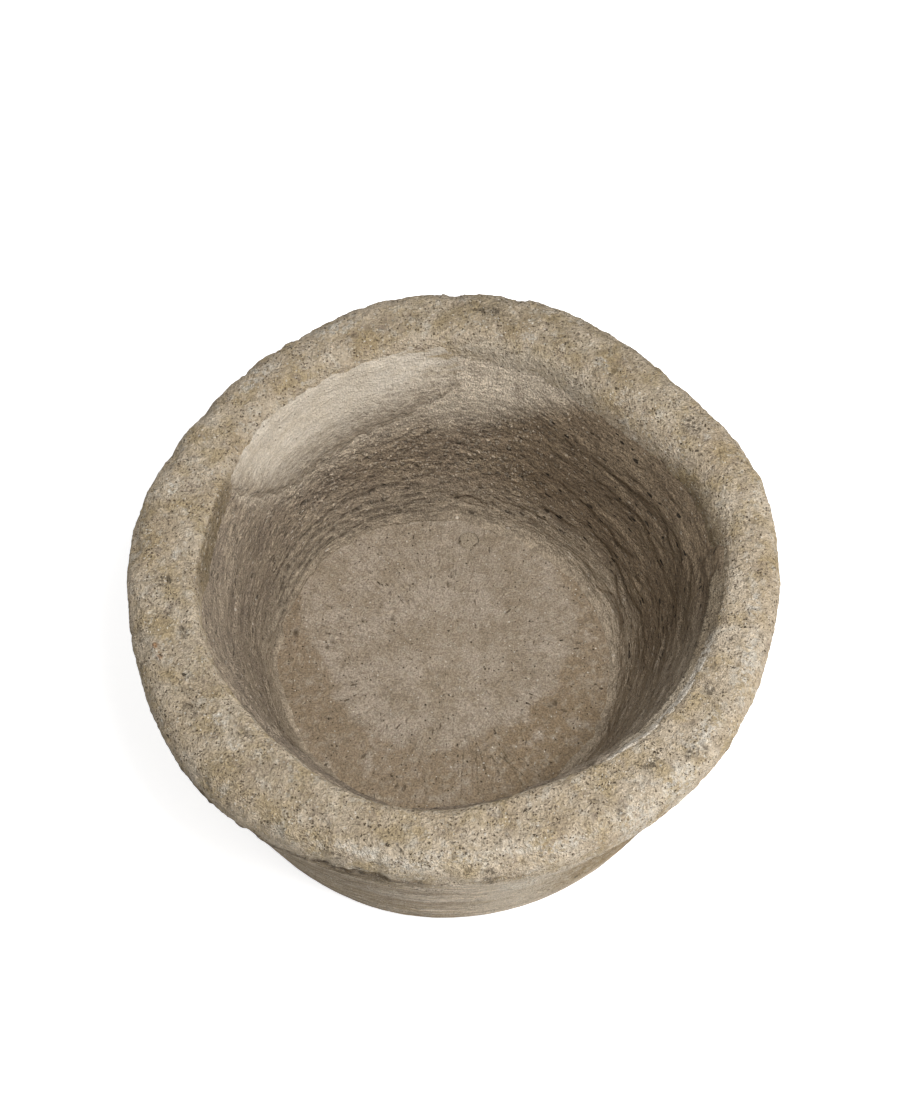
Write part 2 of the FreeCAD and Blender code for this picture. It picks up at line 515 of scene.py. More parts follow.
def polar(bearing, distance):
    """Level place at a bearing in degrees and a distance from the axis in millimetres."""
    turn = math.radians(bearing)
    return mm(distance) * Vector((math.cos(turn), math.sin(turn), 0))


def scored(tree, place, lines, width):
    """Thin lines seen from above, each between two places as polar takes them, fading over a width in mm."""
    level = flattened(tree, place)
    total = 0.0
    for start, end in lines:
        first = polar(*start)
        run = polar(*end) - first
        gone = add(tree, "VectorMath", {0: level, 1: first}, operation="SUBTRACT")
        share = add(tree, "VectorMath", {0: gone, 1: run / run.length_squared}, operation="DOT_PRODUCT")
        share = add(tree, "MapRange", {"Value": share})
        nearest = add(tree, "VectorMath", {0: run, "Scale": share}, operation="SCALE")
        off = add(tree, "VectorMath", {0: gone, 1: nearest}, operation="DISTANCE")
        line = add(tree, "MapRange", {"Value": off, "From Min": mm(width), "From Max": mm(width) / 3})
        total = add(tree, "Math", {0: line, 1: total}, operation="MAXIMUM")
    return total


# %% Materials
def fresh_tree(owner):
    """Empty node tree of a material or a world."""
    owner.use_nodes = True
    owner.node_tree.nodes.clear()
    return owner.node_tree


def matt_material(name):
    """New material, its empty tree, and the object's own coordinates to hang patterns on."""
    material = bpy.data.materials.new(name)
    tree = fresh_tree(material)
    return material, tree, add(tree, "TexCoord").outputs["Object"]


def coat(material, place, roughness, base, grit, layers, grain, bumps):
    """Finish a matt material. The base is the size, range and detail of its blotches and their two colours. A
    layer is (share, strength, colour), or what patchy takes and then a colour. The grit is its seed, its dark
    and light and its height. Grain is (share, dark, light), and bumps are (share, height in mm)."""
    tree = material.node_tree
    *blotch, detail, one, other = base
    colour = add(tree, "Mix", {"Factor": patchy(tree, place, *blotch, detail=detail), "A": paint(one),
                               "B": paint(other)}, data_type="RGBA")
    for *finish, code in layers:
        share = held(tree, *finish) if len(finish) == 2 else patchy(tree, place, *finish)
        colour = add(tree, "Mix", {"Factor": share, "A": colour, "B": paint(code)}, data_type="RGBA")
    seed, *shades, height = grit
    grains = patchy(tree, place, grit_size, 0.36, 0.64, seed=seed, detail=1)
    for share, dark, light in [(grains, *shades), *grain]:
        shade = add(tree, "MapRange", {"Value": share, "To Min": dark, "To Max": light})
        colour = add(tree, "VectorMath", {0: colour, "Scale": shade}, operation="SCALE")
    bump = add(tree, "Bump", {"Height": stacked(tree, [(grains, height), *bumps]), "Distance": mm(1)})
    shader = add(tree, "BsdfPrincipled", {"Base Color": colour, "Roughness": roughness,
                                          "Specular IOR Level": 0.25, "Normal": bump})
    add(tree, "OutputMaterial", {"Surface": shader})
    print("material", material.name, len(tree.nodes), "nodes")


# %% Stone material
rim_cracks = (((-95.7, 304), (-95.1, 316)), ((-99.8, 299), (-98, 310)), ((-154, 292), (-151, 292)),
              ((-18.8, 280), (-17, 284)))
stone, tree, place = matt_material("weathered_stone")
side = add(tree, "Math", {0: 1.0, 1: "worn"}, operation="SUBTRACT")
weathered = add(tree, "Math", {0: "worn", 1: 0.6}, operation="MAXIMUM")
ragged = shaken(tree, place, 2.2, 4)
clusters = patchy(tree, place, 24, 0.36, 0.54, 1.0, weathered, 1)
open_pores = patchy(tree, place, 6, 0.26, 0.52, seed=31)
pores = held(tree, flecks(tree, ragged, 2.8, 2, 0.2, 0.47, clusters), open_pores)
specks = flecks(tree, ragged, 3, 18, 0.36, 0.42, patchy(tree, place, 36, 0.36, 0.56, 0.9, seed=33))
pale_specks = flecks(tree, ragged, 3.2, 19, 0.45, 0.4, patchy(tree, place, 30, 0.36, 0.56, 0.8, seed=34))
holes = flecks(tree, shaken(tree, place, 5, 8), 14, 14, 0.78, 0.2, "worn")
crumbs = patchy(tree, place, 5, 0.3, 0.7, seed=4)
layered = squeezed(tree, shaken(tree, place, 30, 10), 0.12)
bands = patchy(tree, layered, 20, 0.46, 0.62, 0.6, side, 5)
pale_bands = patchy(tree, layered, 24, 0.5, 0.64, 0.45, side, 23)
# Painted highlight on the tops of the tooled lumps of the dressed side and painted shade under them.
painted_tooling_shading = painted_emboss(tree, squeezed(tree, place, 0.4), 12, side)
side_pits = flecks(tree, squeezed(tree, ragged, 0.6), 8, 22, 0.4, 0.3, side)
cracks = held(tree, scored(tree, shaken(tree, place, 6, 7), rim_cracks, 1.2), "worn")
layers = [
    (side, 0.7, "#d9c7af"),
    (30, 0.47, 0.64, 0.6, weathered, 6, "#b09a70"),
    (15, 0.55, 0.68, 0.5, weathered, 7, "#a19181"),
    (14, 0.55, 0.68, 0.6, weathered, 8, "#d8cfbf"),
    (8, 0.4, 0.58, 0.55, "grimy", 17, "#897b60"),
    (pale_bands, 1, "#e8dccb"),
    (bands, 1, "#87765f"),
    (side_pits, 0.7, "#55483a"),
    # Painted shade under the ledge on the front left and along the torn lower edge of the band.
    (12, 0.2, 0.5, 0.8, "crevice", 20, "#50412f"),
    (14, 0.2, 0.5, 0.8, "smeared", 24, "#d0c3af"),
    (9, 0.28, 0.56, 0.75, "stain", 15, "#866d40"),
    (5, 0.44, 0.58, 0.75, "lime", 9, "#dad2c4"),
    (5, 0.42, 0.56, 0.9, "lichen", 10, "#6f6454"),
    (4, 0.4, 0.55, 0.8, "rust", 11, "#a0703e"),
    # Damp stone; this layer also carries painted shade that darkens the front left of the side.
    (9, 0.2, 0.5, 0.75, "damp", 12, "#7c6b4d"),
    (pale_specks, 1, "#e6decf"),
    (specks, 1, "#6a5c49"),
    (pores, 0.95, "#5a4c39"),
    (holes, 0.85, "#40362a"),
    ("pits", 0.4, "#5f5240"),
    (9, 0.4, 0.55, 0.6, cracks, 16, "#4f4435"),
]
coat(stone, place, 0.92, (48, 0.36, 0.64, 6, "#bdaa8f", "#d7c7b0"), (3, 0.86, 1.12, 1.3), layers,
     [(crumbs, 0.8, 1.14), (painted_tooling_shading, 0.66, 1.26)],
     [(crumbs, 2.6), (specks, -1.4), (pores, -1.8), (holes, -2.0), (bands, -1.0), (cracks, -0.8)])

# %% [markdown]
# ## The stone block
# The block is skinned with one run of rings: from a pole under the foot, up the battered side, over the
# ledge under the rim, over the worn rim, and down the hollow to a pole on its floor. The two arrises of the
# rim are arcs, so that every ring knows which way its points lean. The rim gets a point every two
# millimetres, the side half as many, and the hidden faces few. Weights steer the relief: where the stone is
# exposed, where it is the rough weathered rim instead of the smoother dressed side, and where an arris can
# chip. Marks that the real rim shows, such as lime, lichen, rust and a deep gouge, are placed by bearing and
# distance from the axis.

# %% Where the rim is marked
rim_marks = {
    "lime": ((-106, 311, 40, 6), (-98, 314, 30, 7), (-90, 306, 46, 8), (-78, 304, 30, 8), (-71, 310, 36, 8),
             (-57, 314, 30, 14), (-48, 312, 30, 12), (-38, 300, 40, 14), (-22, 304, 50, 14),
             (-10, 297, 22, 10), (164, 292, 16, 8), (179, 271, 10, 8), (-142, 278, 14, 8), (-136, 283, 12, 8),
             (-160, 300, 14, 8), (131, 254, 26, 5), (140, 252, 16, 5), (-22, 240, 16, 4), (-31, 239, 18, 4),
             (-40, 238, 18, 4), (-49, 237, 16, 4), (56, 277, 12, 8), (73, 276, 12, 8), (30, 268, 14, 8),
             (114, 300, 34, 12), (134, 294, 30, 12)),
    "lichen": ((-147, 294, 13, 10), (-136, 270, 13, 8), (-163, 271, 8, 6), (-175, 282, 9, 15),
               (-168, 282, 7, 6), (-41, 308, 10, 7), (-63, 282, 6, 5), (-59, 304, 10, 6), (-50, 285, 12, 8),
               (32, 287, 20, 12), (82, 298, 22, 8), (-30, 280, 12, 8), (-43, 302, 10, 6), (-84, 319, 9, 3),
               (-110, 320, 12, 3)),
    "rust": ((-161.7, 300.5, 6, 4), (-159.6, 299, 8, 4)),
    "gouge": ((-40.7, 308, 7, 4), (-62.6, 282, 4, 3), (-175, 281, 6, 4), (-148, 292, 6, 4),
              (-104, 324, 24, 9), (-99, 328, 16, 8), (-112, 322, 14, 6)),
}


def stone_ring(angles, radius, z, degrees=0.0, exposed=0.0, worn=0.0, arris=0.0, grime=1.0, **stains):
    """One ring of the block with its weights. Only the worn stone carries marks and grime."""
    points = ring(angles, radius, z)
    shown = np.broadcast_to(worn, len(points)) > 0.5
    weights = {name: marks(points, places) * shown for name, places in rim_marks.items()}
    grimy = np.maximum(0.7 * span(angles, 38, 100, 22), 0.5 * span(angles, -168, -105, 30))
    weights |= {"exposed": exposed, "worn": worn, "arris": arris, "grimy": grimy * shown * grime}
    clean = dict.fromkeys(("damp", "stain", "crevice", "smeared"), 0.0)
    return points, weights | clean | stains | lean(degrees)


# %% Inner arris of the rim
def inner_round(angles):
    """Radius of the worn inner arris: widest at the back right, tightest where the pointing runs."""
    back_right = mm(22) * span(angles, 0, 82, 22)
    back_left = mm(14) * span(angles, 82, 156, 20)
    return mm(10) + back_right + back_left + mm(2.5) * wander(angles, mm(60), 2.0)


def inner_arris(angles):
    """The sharp corner that the arris was worn from, how the wall leans there, and how far the arc turns."""
    upper = hollow_reach(angles, rim_height - mm(12))
    lower = hollow_reach(angles, rim_height - mm(60))
    batter = (upper - lower) / mm(48)
    return upper + batter * mm(12), batter, np.pi / 2 - np.arctan(batter)


def stone_reach(angles, z):
    """Distance from the axis to the stone of the hollow, with its rounded arris."""
    corner, batter, turn = inner_arris(angles)
    radius = inner_round(angles)
    depth = rim_height - z
    bend = np.arccos(1 - np.clip(depth / radius, 0, 1 - np.cos(turn)))
    below = np.maximum(depth - radius * (1 - np.cos(turn)), 0)
    rounded = corner + radius * (np.tan(turn / 2) - np.sin(bend)) - batter * below
    plain = between(depth, mm(30), mm(60))
    return rounded * (1 - plain) + hollow_reach(angles, z) * plain


# %% Rings of the underside and the side
rim_points = 960
side_rows = 44
band_rows = 13
arc_rows = 13
top_rows = 20
ledge_height = mm(252)
fine_angles = around(rim_points)
side_angles = around(rim_points // 2)
hidden_angles = around(rim_points // 4)

rows = [stone_ring(pole, 0, 0)]
for share in (0.25, 0.5, 0.75, 0.97):
    rows.append(stone_ring(hidden_angles, share * outside_reach(hidden_angles, 0.0), 0))
undercut = span(side_angles, -155, -94, 24)
filled = span(side_angles, -82, -10, 24)
foot_rise = mm(np.array([0, 0.8, 2, 4, 7, 11]))
for z in np.concatenate([foot_rise, np.linspace(mm(15), ledge_height - mm(2), side_rows)]):
    near_ledge = between(z, ledge_height - mm(60), ledge_height)
    radius = outside_reach(side_angles, z) + (mm(6) * filled - mm(10) * undercut) * near_ledge
    foot_damp = 0.5 * (1 - between(z, 0, mm(40))) * (1 - 0.8 * filled)
    stained_height = between(z, mm(20), mm(80)) * (1 - between(z, mm(170), mm(230)))
    # The front left of the side is painted darker with painted shade, darker still under the ledge, and the
    # foot is damp.
    rows.append(stone_ring(
        side_angles, radius, z, 0, between(z, mm(1), mm(12)), between(z, mm(10), mm(90)) * filled,
        damp=np.maximum(0.6 * span(side_angles, -160, -98, 24), foot_damp),
        stain=span(side_angles, -70, -40, 16) * stained_height,
        crevice=np.maximum(0.25, between(z, ledge_height - mm(30), ledge_height)) * undercut,
        smeared=0.7 * span(side_angles, -86, -62, 12)))
print("rings up to the ledge:", len(rows))

# %% Rings of the ledge and the rim
flush = span(fine_angles, -82, -10, 24)
band_face = outside_reach(fine_angles, rim_height - mm(25))
outer_round = mm(20) + mm(6) * wander(fine_angles, mm(90), 1.0)
torn_side = span(fine_angles, -152, -92, 16)
torn_edge = mm(2.5) * wander(fine_angles, mm(20), 3.0) * torn_side
for rise in mm(np.array([0, 1, 2.2, 3.6, 5.4])):
    radius = outside_reach(fine_angles, ledge_height + rise) * (1 - flush) + band_face * flush
    worn = between(rise, mm(-1), mm(3)) * (1 - flush) + flush
    z = ledge_height + rise - torn_edge
    # Painted shade lies on the torn side of the ledge.
    rows.append(stone_ring(fine_angles, radius, z, 0, 1, worn, 0.7 * (1 - flush), crevice=torn_side))
band_low = ledge_height + mm(7.5)
for share in np.linspace(0, 1, band_rows):
    z = (band_low - torn_edge) * (1 - share) + (rim_height - outer_round) * share
    radius = outside_reach(fine_angles, np.minimum(z, rim_height - mm(16)))
    chipped = (0.7 + 0.3 * torn_side) * (1 - between(share, 0, 0.5)) * (1 - flush)
    # Painted shade lies along the torn lower edge of the band.
    rows.append(stone_ring(fine_angles, radius, z, 0, 1, 1, chipped,
                           damp=0.35 * span(fine_angles, -114, -70, 14) * (1 - between(share, 0.3, 0.9)),
                           crevice=torn_side * (1 - between(share, 0.05, 0.4))))
for degrees in np.linspace(0, 90, arc_rows)[1:]:
    bend = math.radians(degrees)
    radius = band_face - outer_round * (1 - math.cos(bend))
    z = rim_height - outer_round * (1 - math.sin(bend))
    rows.append(stone_ring(fine_angles, radius, z, degrees, 1, 1, math.sin(2 * bend)))
corner, batter, turn = inner_arris(fine_angles)
arris_round = inner_round(fine_angles)
arc_start = corner + arris_round * np.tan(turn / 2)
for share in np.linspace(0, 1, top_rows)[1:-1]:
    radius = (band_face - outer_round) * (1 - share) + arc_start * share
    rows.append(stone_ring(fine_angles, radius, rim_height, 90, 1, 1))
print("rings up to the top of the rim:", len(rows))

# %% Rings of the hollow
def bare_strip(angles):
    """1 on the left, where a strip of stone is left bare over the lining."""
    return span(angles, 157, 186, 14)


under_skim = span(fine_angles, 84, 157, 6)
rolled = 0.85 * span(fine_angles, 54, 90, 12)
bare = bare_strip(fine_angles)
joint = span(fine_angles, 3, 26, 10)
for share in np.linspace(0, 1, arc_rows):
    bend = turn * share
    z = rim_height - arris_round * (1 - np.cos(bend))
    exposed = 1 - 0.6 * under_skim * between(share, 0.3, 0.8)
    rows.append(stone_ring(
        fine_angles, arc_start - arris_round * np.sin(bend), z, 90 + np.degrees(bend), exposed, 1,
        grime=1 - between(share, 0.1, 0.5),
        damp=np.maximum(bare * between(share, 0.4, 0.7), 0.6 * joint * between(share, 0.5, 0.8)),
        smeared=rolled * between(share, 0.3, 0.8)))
for depth in mm(np.array([3, 6, 10, 14, 19, 25, 32, 40])):
    z = rim_height - arris_round * (1 - np.cos(turn)) - depth
    exposed = (1 - 0.6 * under_skim) * (1 - between(depth, mm(30), mm(40)))
    rows.append(stone_ring(fine_angles, stone_reach(fine_angles, z), z, 90 + np.degrees(turn), exposed, 1,
                           grime=0.0, damp=np.maximum(bare, joint), smeared=rolled))
for angles, z in ((side_angles, mm(225)), (hidden_angles, mm(210)), (hidden_angles, mm(150)),
                  (hidden_angles, bed_height)):
    rows.append(stone_ring(angles, hollow_reach(angles, z), z))
rows.append(stone_ring(hidden_angles, mm(100), bed_height))
rows.append(stone_ring(pole, 0, bed_height))
trough = skin("stone_block", rows)
print("rings of the block:", len(rows))

# %% Relief of the stone
stone_sizes = {
    "Swell Size": mm(110), "Swell": mm(3.0),
    "Lump Size": mm(26), "Lump": mm(2.6),
    "Grain Size": mm(7), "Grain": mm(2.0),
    "Pit Spacing": mm(13), "Pit": mm(2.2),
    "Chip Size": mm(34), "Chip": mm(6),
    "Gouge": mm(5),
    "Tooling Length": mm(70), "Tooling Width": mm(5), "Tooling": mm(1.5),
    "Seed": 3.0,
}
tree, size, place = relief_tree("weathered_stone_relief", stone_sizes)
seed = size["Seed"]
rough = stacked(tree, [(rolling(tree, place, size[layer + " Size"], seed, 4.0), size[layer])
                       for layer in ("Swell", "Lump", "Grain")])
dressed = held(tree, rolling(tree, place, drawn_out(tree, size, "Tooling"), seed, 3.0), size["Tooling"])
height = add(tree, "Mix", {"Factor": "worn", "A": dressed, "B": rough})
breaks = rolling(tree, place, size["Chip Size"], seed, 4.0)
chips = add(tree, "MapRange", {"Value": breaks, "From Min": 0.0, "From Max": 0.4})
torn = add(tree, "MapRange", {"Value": breaks, "From Min": -0.4, "From Max": 0.3})
pits = held(tree, dents(tree, place, size["Pit Spacing"], seed, 0.65, 0.36), "worn")
for hollowed in (held(tree, pits, size["Pit"]), held(tree, chips, "arris", size["Chip"]),
                 held(tree, torn, "gouge", size["Gouge"])):
    height = add(tree, "Math", {0: height, 1: hollowed}, operation="SUBTRACT")
close(tree, raised(tree, size["Geometry"], height, {"pits": pits}), stone)
shaped(trough, tree, stone_sizes)
print("relief of the stone:", len(trough.data.vertices), "points")

# %% Drain hole through the stone
plug_low, plug_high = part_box("drain_plug")
plug_middle = (plug_low + plug_high) / 2
plug_radius = (plug_high.x - plug_low.x) / 2
plug_place = np.array([plug_middle.x, plug_middle.y, 0])


def round_cutter(radius, low, high):
    """Plain round cutter on the drain's axis."""
    outline = ((pole, 0, low), (around(48), radius, low), (around(48), radius, high), (pole, 0, high))
    return skin("cutter", [(ring(*place) + plug_place, {}) for place in outline])


cut(trough, round_cutter(plug_radius, -mm(20), bed_height + mm(10)))
settle(trough, "stone_trough")

# %% [markdown]
# ## Render mortar
# The lining is a coarse grey-brown sand mortar. Sand drags under the trowel, so the eye sees fine strokes
# round the wall, dark slits where a grain tore out and pale flecks where one smeared. Patterns squeezed
# along one axis give such strokes: they are stretched round the wall and kept fine up the wall. At the back
# the mortar is crumbly instead, with painted highlights on its lumps and painted shade under them.

# %% Render material
render, tree, place = matt_material("sand_render")
dragged = squeezed(tree, place, 0.35)
loose = add(tree, "MapRange", {"Value": "crumbly", "From Min": 0.35, "From Max": 0.9, "To Max": 0.7})
settled = add(tree, "Math", {0: "pale", 1: loose}, operation="MAXIMUM")
strokes = patchy(tree, squeezed(tree, place, 0.16), 2.6, 0.34, 0.66, seed=1)
strokes = add(tree, "Mix", {"Factor": held(tree, settled, 0.6), "A": strokes, "B": 0.6})
rough = add(tree, "Math", {0: 1.0, 1: "pale"}, operation="SUBTRACT", use_clamp=True)
upright = add(tree, "MapRange", {"Value": "foot", "From Min": 0.96, "From Max": 0.82})
torn = patchy(tree, place, 30, 0.38, 0.5, 1.0, held(tree, upright, rough), 4)
slits = flecks(tree, dragged, 5, 5, 0.15, 0.38, torn)
deep = add(tree, "MapRange", {"Value": "brown", "To Min": 0.6, "To Max": 0.95})
smeared = add(tree, "MapRange", {"Value": "brown", "To Min": 0.9, "To Max": 0.4})
smears = flecks(tree, dragged, 4, 8, 0.5, 0.28, smeared)
lit_crumb_tops, crumb_shade = loose_crumbs(tree, place, patchy(tree, place, 36, 0.4, 0.54, 1.0, "crumbly", 11))
# Painted highlights on the lumps of the crumbly mortar and painted shade under them.
lumps = painted_emboss(tree, squeezed(tree, place, 0.8), 8, "crumbly")
layers = [
    ("brown", 0.6, "#7d6a51"),
    (20, 0.1, 0.5, 0.9, "pale", 6, "#cbbda9"),
    (20, 0.1, 0.5, 0.9, "foot", 7, "#b8a892"),
    (smears, 1, "#d0c4b3"),
    (3.4, 0.58, 0.68, 0.5, "crumbly", 10, "#4d4336"),
    (slits, deep, "#2d261d"),
    (9, 0.36, 0.5, 0.75, "lap_line", 14, "#463b2e"),
    # Painted shade under each loose crumb and a painted highlight on its top.
    (crumb_shade, 0.6, "#362d23"),
    (lit_crumb_tops, 0.5, "#b9ab98"),
    ("pits", 0.4, "#372f24"),
    ("crumb", 0.5, "#b9ab98"),
]
coat(render, place, 0.95, (40, 0.36, 0.64, 5, "#908170", "#a59580"), (2, 0.74, 1.24, 1.1), layers,
     [(strokes, 0.74, 1.22), (lumps, 0.5, 1.45)], [(strokes, 1.6), (lit_crumb_tops, 3.0), (slits, -2.0)])

# %% [markdown]
# ## The rendered wall
# The lining is a closed ring with a trowelled inner face. Its top edge thins out against the stone under the
# rim, lies lower on the left where a strip of stone is bare, and stops square under the pointing at the
# right. At the foot it turns over the floor in a soft curve, and at the back left it lies there in thin
# laps, one over another.

# %% Edges of the lining
skim_foot = ((76, 262), (83, 238), (91, 220), (99, 206), (109, 194), (119, 188), (127, 178), (136, 176),
             (145, 196), (154, 236), (158, 262))
smooth_foot = ((40, 306), (51, 282), (62, 250), (72, 214), (82, 190), (95, 188), (150, 186))
lap_steps = ((3, 2.6), (9, 3.0), (17, 3.2), (27, 3.0), (40, 2.4))
pointing_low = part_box("lip_pointing_1")[0].z


def pointed(angles):
    """1 where the pointing runs over the lining."""
    return span(angles, -58, 5, 3)


def lining_top_at(angles):
    """Height of the lining's top edge."""
    corner, batter, turn = inner_arris(angles)
    bare = bare_strip(angles)
    top = rim_height - inner_round(angles) * (1 - np.cos(turn)) - mm(3) + mm(3) * wander(angles, mm(40), 4.0)
    top = top * (1 - bare) + (rim_height - mm(34)) * bare
    return top * (1 - pointed(angles)) + (pointing_low + mm(1)) * pointed(angles)


def lining_face(angles, z):
    """Distance from the axis to the face of the lining, which thins out towards its top edge."""
    under_top = lining_top_at(angles) - z
    full = np.maximum(between(under_top, 0, mm(45)), pointed(angles))
    buried = mm(1.5) * (1 - between(under_top, 0, mm(15))) * (1 - pointed(angles))
    return stone_reach(angles, z) - np.interp(z, lining_heights, lining_depth) * full + buried


def skim_low_at(angles):
    """Height of the skim coat's ragged lower edge."""
    return edge_at(skim_foot, angles) + mm(9) * wander(angles, mm(18), 12.0)


# %% Weights of the lining
wall_angles = around(720)
skim_low = skim_low_at(wall_angles)
smooth_low = edge_at(smooth_foot, wall_angles) + mm(8) * wander(wall_angles, mm(30), 14.0)
lapped = span(wall_angles, 96, 168, 24)
laps = [(floor_height + mm(rise) + mm(5) * wander(wall_angles, mm(60), 20.0 + rise), mm(tread))
        for rise, tread in lap_steps]


def lining_ring(radius, z, degrees=165.0, exposed=0.0):
    """One ring of the lining with its weights."""
    points = ring(wall_angles, radius, z)
    z = points[:, 2]
    smooth = between(z, smooth_low - mm(22), smooth_low + mm(26)) * span(wall_angles, 40, 150, 14)
    foot = 1 - between(z, floor_height + mm(1), floor_height + mm(75))
    crumbly = (0.28 + 0.72 * span(wall_angles, 60, 155, 50)) * (1 - 0.6 * smooth)
    brown = np.maximum(span(wall_angles, -16, 84, 50), 0.5 * span(wall_angles, 84, 120, 40))
    near_skim = between(z, skim_low - mm(40), skim_low + mm(15)) * span(wall_angles, 66, 157, 4)
    pale_left = 0.1 * between(z, mm(175), mm(265)) * span(wall_angles, 157, 250, 10)
    # Painted light: the right of the wall above the foot is painted paler, where the lamps leave it in shade.
    painted_light_right = 0.45 * (1 - foot) * span(wall_angles, -64, -14, 24)
    lap = sum(tread * (1 - between(z, lip, lip + mm(2))) for lip, tread in laps)
    lines = [1 - between(np.abs(z - lip - mm(2)), mm(0.6), mm(2.4)) for lip, tread in laps]
    return points, lean(degrees) | {
        "exposed": exposed * (1 - 0.5 * smooth),
        "crumbly": crumbly * (1 - 0.6 * foot),
        "brown": brown * (1 - 0.9 * smooth) * (1 - 0.9 * foot),
        "pale": np.maximum(near_skim, smooth) + pale_left + painted_light_right,
        "foot": foot * (1 - 0.3 * span(wall_angles, 74, 128, 20)),
        "lap": lap * lapped,
        "lap_line": np.max(lines, axis=0) * lapped,
    }


# %% Rings of the lining
wall_rows = 98
foot_rows = 11
lining_top = lining_top_at(wall_angles)
stone_at_top = stone_reach(wall_angles, lining_top)
foot_round = mm(17) - mm(9) * span(wall_angles, 150, 240, 40) + mm(5) * wander(wall_angles, mm(50), 8.0)
foot_corner = wall_reach(wall_angles, floor_height)
foot_turn = np.pi / 2 - np.arctan((wall_reach(wall_angles, floor_height + mm(40)) - foot_corner) / mm(40))
foot_toe = foot_corner - foot_round * np.tan(foot_turn / 2)
foot_top = floor_height + foot_round * (1 - np.cos(foot_turn))

rows = []
for z in (bed_height + mm(1), mm(100), mm(200)):
    rows.append(lining_ring(hollow_reach(wall_angles, z) - mm(0.5), z))
rows.append(lining_ring(stone_at_top + mm(4), lining_top - mm(6)))
rows.append(lining_ring(stone_at_top + mm(3.5), lining_top))
for share in np.linspace(0, 1, wall_rows):
    z = lining_top * (1 - share) + foot_top * share
    covered = between(z, skim_low, skim_low + mm(20)) * span(wall_angles, 82, 156, 3)
    exposed = between(lining_top - z, 0, mm(25)) * (1 - 0.9 * covered)
    rows.append(lining_ring(lining_face(wall_angles, z), z, 165, exposed))
for share in np.linspace(0, 1, foot_rows)[1:]:
    bend = foot_turn * (1 - share)
    z = floor_height + foot_round * (1 - np.cos(bend))
    rows.append(lining_ring(foot_toe + foot_round * np.sin(bend), z, 90 + np.degrees(bend), 1 - 0.6 * share))
rows.append(lining_ring(foot_toe - mm(5), floor_height - mm(3), 90))
rows.append(lining_ring(foot_toe - mm(2), bed_height + mm(1), 90))
wall = skin("rendered_wall", rows, closed=True)
print("rings of the lining:", len(rows))

# %% Relief of the wall
wall_sizes = {
    "Swell Size": mm(90), "Swell": mm(3.0),
    "Stroke Length": mm(30), "Stroke Width": mm(6), "Stroke": mm(2.6),
    "Plate Length": mm(60), "Plate Width": mm(16), "Plate": mm(3.6),
    "Crumb Spacing": mm(9), "Crumb Patch": mm(34), "Crumb": mm(3.6), "Crumbs": 34000.0,
    "Hole Length": mm(24), "Hole Width": mm(11), "Hole": mm(3),
    "Seed": 7.0,
}
tree, size, place = relief_tree("trowelled_wall_relief", wall_sizes)
seed = size["Seed"]
swell = rolling(tree, place, size["Swell Size"], seed, 2.0)
tilt = add(tree, "CombineXYZ", {2: held(tree, swell, mm(25))})
tilted = add(tree, "VectorMath", {0: place, 1: tilt}, operation="ADD")
trowelled = add(tree, "MapRange", {"Value": "crumbly", "From Min": 0.35, "From Max": 0.9, "To Min": 1.0,
                                   "To Max": 0.45})
strokes = rolling(tree, tilted, drawn_out(tree, size, "Stroke"), seed, 4.0)
spot = add(tree, "VectorMath", {0: tilted, 1: drawn_out(tree, size, "Plate")}, operation="DIVIDE")
plates = add(tree, "TexVoronoi", {"Vector": spot, "W": seed, "Scale": 1.0, "Smoothness": 0.1},
             voronoi_dimensions="4D", feature="SMOOTH_F1")
lift = add(tree, "FunctionNodeSeparateColor", {"Color": plates.outputs["Color"]})
holes = dents(tree, tilted, drawn_out(tree, size, "Hole"), seed, 0.75, 0.28)
height = stacked(tree, [
    (swell, size["Swell"]),
    (held(tree, strokes, trowelled), size["Stroke"]),
    (held(tree, lift, trowelled), size["Plate"]),
    (crumbled(tree, place, size), size["Crumb"]),
    (holes, held(tree, size["Hole"], -1.0)),
    ("lap", 1.0),
])
close(tree, strewn(tree, raised(tree, size["Geometry"], height, {"pits": holes}), size), render)
shaped(wall, tree, wall_sizes)
settle(wall, "wall_render")

# %% [markdown]
# ## Screed mortar
# The floor is a finer sand mortar, trowelled from the middle outwards and worn smooth. The eye sees a pale
# worn middle, a browner ring where damp soil stood, painted darker at the front right as painted shadow, thin
# strokes that fan out, scratches at the front and pinholes. The strokes need a pattern that knows the middle,
# so its coordinates are the direction from the middle and the distance to it.

# %% Screed material
scratches = (((-76, 102), (-80, 158)), ((-84, 111), (-87, 162)), ((-75, 100), (-74, 156)),
             ((-63, 107), (-63, 163)), ((-60, 114), (-55, 170)), ((-70, 118), (-66, 150)),
             ((-66, 122), (-60, 158)))
fan_radius = mm(110)
screed, tree, place = matt_material("trowelled_screed")
level = flattened(tree, place)
away = add(tree, "VectorMath", {0: level}, operation="LENGTH")
facing = add(tree, "VectorMath", {0: level}, operation="NORMALIZE")
round_about = add(tree, "VectorMath", {0: facing, "Scale": fan_radius}, operation="SCALE")
fans = []
for squeeze in (0.1, 0.28):
    outward = add(tree, "CombineXYZ", {2: held(tree, away, squeeze)})
    fans.append(add(tree, "VectorMath", {0: round_about, 1: outward}, operation="ADD"))
long_fan, short_fan = fans
fanned = add(tree, "MapRange", {"Value": away, "From Min": mm(25), "From Max": mm(85)})
dashed = held(tree, fanned, patchy(tree, place, 30, 0.42, 0.6, seed=3))
crossed = add(tree, "Mapping", {"Vector": shaken(tree, place, 9, 4), "Rotation": (0.0, 0.0, 0.9),
                                "Scale": (1.0, 0.2, 1.0)})
dotted = shaken(tree, place, 3, 2)
crumbs = patchy(tree, place, 4, 0.3, 0.7, seed=12)
hairs = patchy(tree, long_fan, 2.2, 0.5, 0.72, 0.5, fanned, 2)
